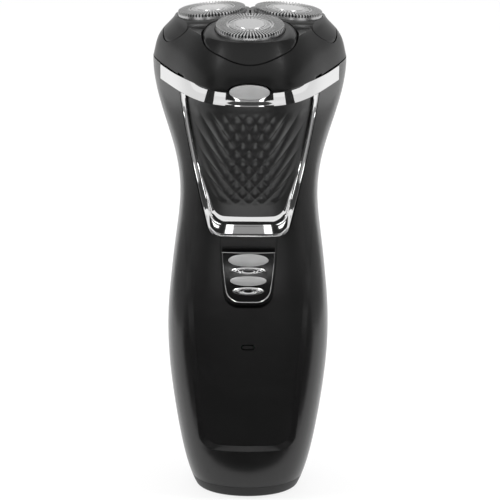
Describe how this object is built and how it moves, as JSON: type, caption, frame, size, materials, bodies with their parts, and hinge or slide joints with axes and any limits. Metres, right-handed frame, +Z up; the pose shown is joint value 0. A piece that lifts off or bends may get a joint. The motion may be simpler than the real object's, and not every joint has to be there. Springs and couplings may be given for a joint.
{
  "type": "electric shaver",
  "caption": "Cordless rotary electric shaver with a waisted handle, a hinged triangular head, floating round cutters, a sliding switch and a charging inlet in its flat base.",
  "frame": {"origin": "middle of the charging inlet's mouth, in the flat base that the shaver stands on", "axes": "+Z up along the handle to the shaving heads, -Y out of the front with the switch, +X to the right as the front is looked at"},
  "size_m": [0.0612, 0.0605, 0.1596],
  "materials": {
    "shell_black": "satin black with a fine sparkle",
    "base_black": "fine matt black",
    "chrome_trim": "bright plated",
    "inlay_soft": "soft dark grey with a diamond relief",
    "slider_gloss": "polished black",
    "silver_paint": "satin silver lacquer",
    "head_black": "satin black",
    "cap_steel": "ground, with fine slots",
    "polished_steel": "polished",
    "cutter_steel": "ground",
    "machine_steel": "turned",
    "spring_steel": "drawn wire",
    "gear_plastic": "natural white",
    "inner_frame": "dark grey",
    "seal_rubber": "matt black",
    "motor_case": "zinc plated",
    "lead_sleeve": "red insulation",
    "battery_wrap": "plain green shrink sleeve",
    "contact_metal": "plated",
    "board_green": "solder lacquer",
    "switch_case": "black",
    "window_smoke": "smoked, matched to the body",
    "lamp_body": "clear white"
  },
  "bodies": {
    "handle": {"front_cover": "shell_black", "rear_cover": "shell_black", "base_cap": "base_black", "collar_trim": "chrome_trim", "inlay_trim": "chrome_trim", "grip_inlay": "inlay_soft", "slide_switch": "switch_case", "indicator_lamp": "lamp_body", "light_pipe": "window_smoke", "charging_socket": "base_black", "socket_pins": "contact_metal", "chassis": "inner_frame", "battery": "battery_wrap", "battery_contacts": "contact_metal", "circuit_board": "board_green", "motor": "motor_case", "motor_leads": "lead_sleeve", "gear_plate": "inner_frame", "gear_deck": "inner_frame", "motor_screws": "machine_steel", "deck_screws": "machine_steel", "housing_screws": "machine_steel", "gear_axles": "machine_steel", "shaft_seals": "seal_rubber", "release_spring": "spring_steel", "head_hinge_pin": "machine_steel"},
    "rotor": {"motor_shaft": "machine_steel", "drive_pinion": "gear_plastic"},
    "gear_1": {"drive_gear_1": "gear_plastic", "drive_spindle_1": "gear_plastic"},
    "gear_2": {"drive_gear_2": "gear_plastic", "drive_spindle_2": "gear_plastic"},
    "gear_3": {"drive_gear_3": "gear_plastic", "drive_spindle_3": "gear_plastic"},
    "head": {"head_cover": "head_black", "head_frame": "inner_frame", "pod_spring_1": "spring_steel", "pod_spring_2": "spring_steel", "pod_spring_3": "spring_steel"},
    "pod_1": {"head_pod_1": "head_black", "shaving_cap_1": "cap_steel", "cap_disc_1": "polished_steel", "cap_retainer_1": "gear_plastic"},
    "pod_2": {"head_pod_2": "head_black", "shaving_cap_2": "cap_steel", "cap_disc_2": "polished_steel", "cap_retainer_2": "gear_plastic"},
    "pod_3": {"head_pod_3": "head_black", "shaving_cap_3": "cap_steel", "cap_disc_3": "polished_steel", "cap_retainer_3": "gear_plastic"},
    "cutter_1": {"cutter_1": "cutter_steel"},
    "cutter_2": {"cutter_2": "cutter_steel"},
    "cutter_3": {"cutter_3": "cutter_steel"},
    "release": {"release_button": "silver_paint"},
    "switch": {"switch_slider": "slider_gloss", "slider_grips": "silver_paint", "switch_lever": "switch_case"}
  },
  "joints": [
    {"name": "motor_spin", "type": "hinge", "parent": "handle", "child": "rotor", "pos_m": [0, 0, 0.135], "axis": [0, 0, 1], "continuous": true},
    {"name": "head_open", "type": "hinge", "parent": "handle", "child": "head", "pos_m": [0, 0.0253, 0.1446], "axis": [-1, 0, 0], "range_deg": [0, 110]},
    {"name": "release_press", "type": "slide", "parent": "handle", "child": "release", "axis": [0, 1, 0], "range_m": [0, 0.0012], "stiffness_N_per_m": 500, "springref_m": -0.0006, "deforming": ["release_spring"]},
    {"name": "switch_slide", "type": "slide", "parent": "handle", "child": "switch", "axis": [0, 0, 1], "range_m": [0, 0.0035]},
    {"name": "gear_spin_1", "type": "hinge", "parent": "handle", "child": "gear_1", "pos_m": [0, -0.0126, 0.1367], "axis": [0, 0, 1], "continuous": true},
    {"name": "pod_float_1", "type": "slide", "parent": "head", "child": "pod_1", "axis": [0, 0.0958, -0.9954], "range_m": [0, 0.0015], "stiffness_N_per_m": 400, "springref_m": -0.001, "deforming": ["pod_spring_1"]},
    {"name": "cutter_spin_1", "type": "hinge", "parent": "pod_1", "child": "cutter_1", "pos_m": [0, -0.0126, 0.1446], "axis": [0, -0.0958, 0.9954], "continuous": true},
    {"name": "gear_spin_2", "type": "hinge", "parent": "handle", "child": "gear_2", "pos_m": [0.01091, 0.0063, 0.1367], "axis": [0, 0, 1], "continuous": true},
    {"name": "pod_float_2", "type": "slide", "parent": "head", "child": "pod_2", "axis": [-0.083, -0.0479, -0.9954], "range_m": [0, 0.0015], "stiffness_N_per_m": 400, "springref_m": -0.001, "deforming": ["pod_spring_2"]},
    {"name": "cutter_spin_2", "type": "hinge", "parent": "pod_2", "child": "cutter_2", "pos_m": [0.01091, 0.0063, 0.1446], "axis": [0.083, 0.0479, 0.9954], "continuous": true},
    {"name": "gear_spin_3", "type": "hinge", "parent": "handle", "child": "gear_3", "pos_m": [-0.01091, 0.0063, 0.1367], "axis": [0, 0, 1], "continuous": true},
    {"name": "pod_float_3", "type": "slide", "parent": "head", "child": "pod_3", "axis": [0.083, -0.0479, -0.9954], "range_m": [0, 0.0015], "stiffness_N_per_m": 400, "springref_m": -0.001, "deforming": ["pod_spring_3"]},
    {"name": "cutter_spin_3", "type": "hinge", "parent": "pod_3", "child": "cutter_3", "pos_m": [-0.01091, 0.0063, 0.1446], "axis": [-0.083, 0.0479, 0.9954], "continuous": true}
  ],
  "couplings": [
    {"joint": "gear_spin_1", "follows": "motor_spin", "ratio": -0.4},
    {"joint": "cutter_spin_1", "follows": "motor_spin", "ratio": -0.4},
    {"joint": "gear_spin_2", "follows": "motor_spin", "ratio": -0.4},
    {"joint": "cutter_spin_2", "follows": "motor_spin", "ratio": -0.4},
    {"joint": "gear_spin_3", "follows": "motor_spin", "ratio": -0.4},
    {"joint": "cutter_spin_3", "follows": "motor_spin", "ratio": -0.4}
  ]
}
